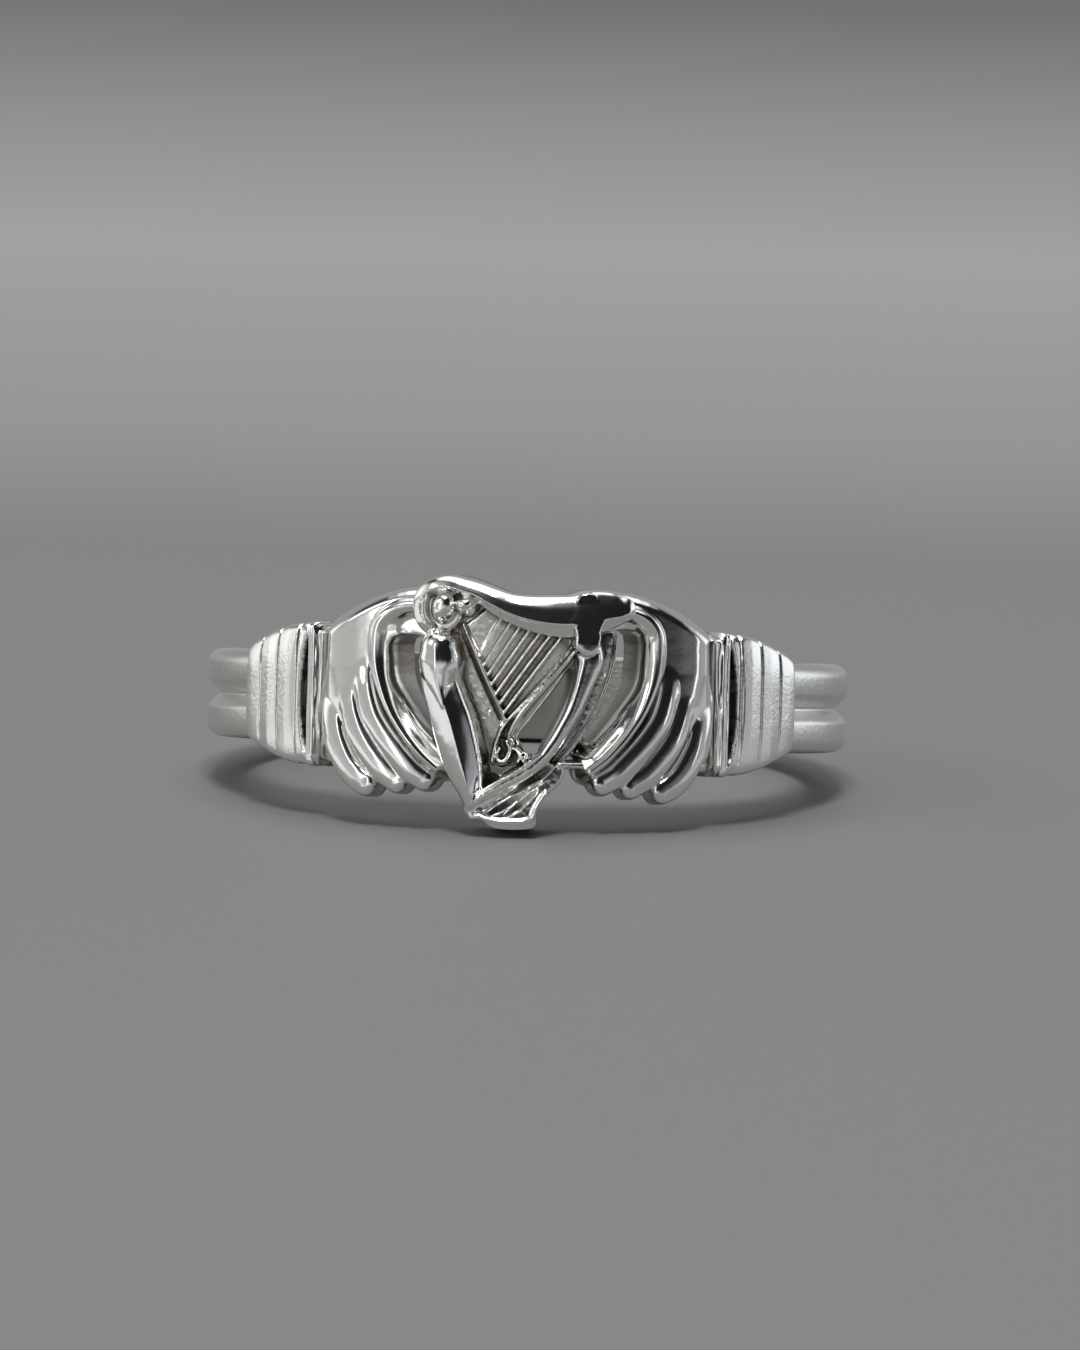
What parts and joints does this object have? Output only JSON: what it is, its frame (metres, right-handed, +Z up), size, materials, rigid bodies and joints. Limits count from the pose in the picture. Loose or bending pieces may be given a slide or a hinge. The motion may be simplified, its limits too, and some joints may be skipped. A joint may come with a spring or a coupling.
{
  "type": "claddagh ring",
  "caption": "Silver finger ring whose two cuffed hands hold a pierced harp, cast in one piece with a twin-ribbed shank.",
  "frame": {"origin": "centre of the finger hole, halfway along the hole's wall", "axes": "+Z up with the ring lying on its side, -Y out through the harp, +X to the wearer's right hand side of the harp; the hole's axis leans back from +Z by the resting tilt"},
  "size_m": [0.02, 0.0213, 0.0078],
  "materials": {
    "silver": "polished"
  },
  "bodies": {
    "root": {"ring": "silver"}
  },
  "joints": []
}
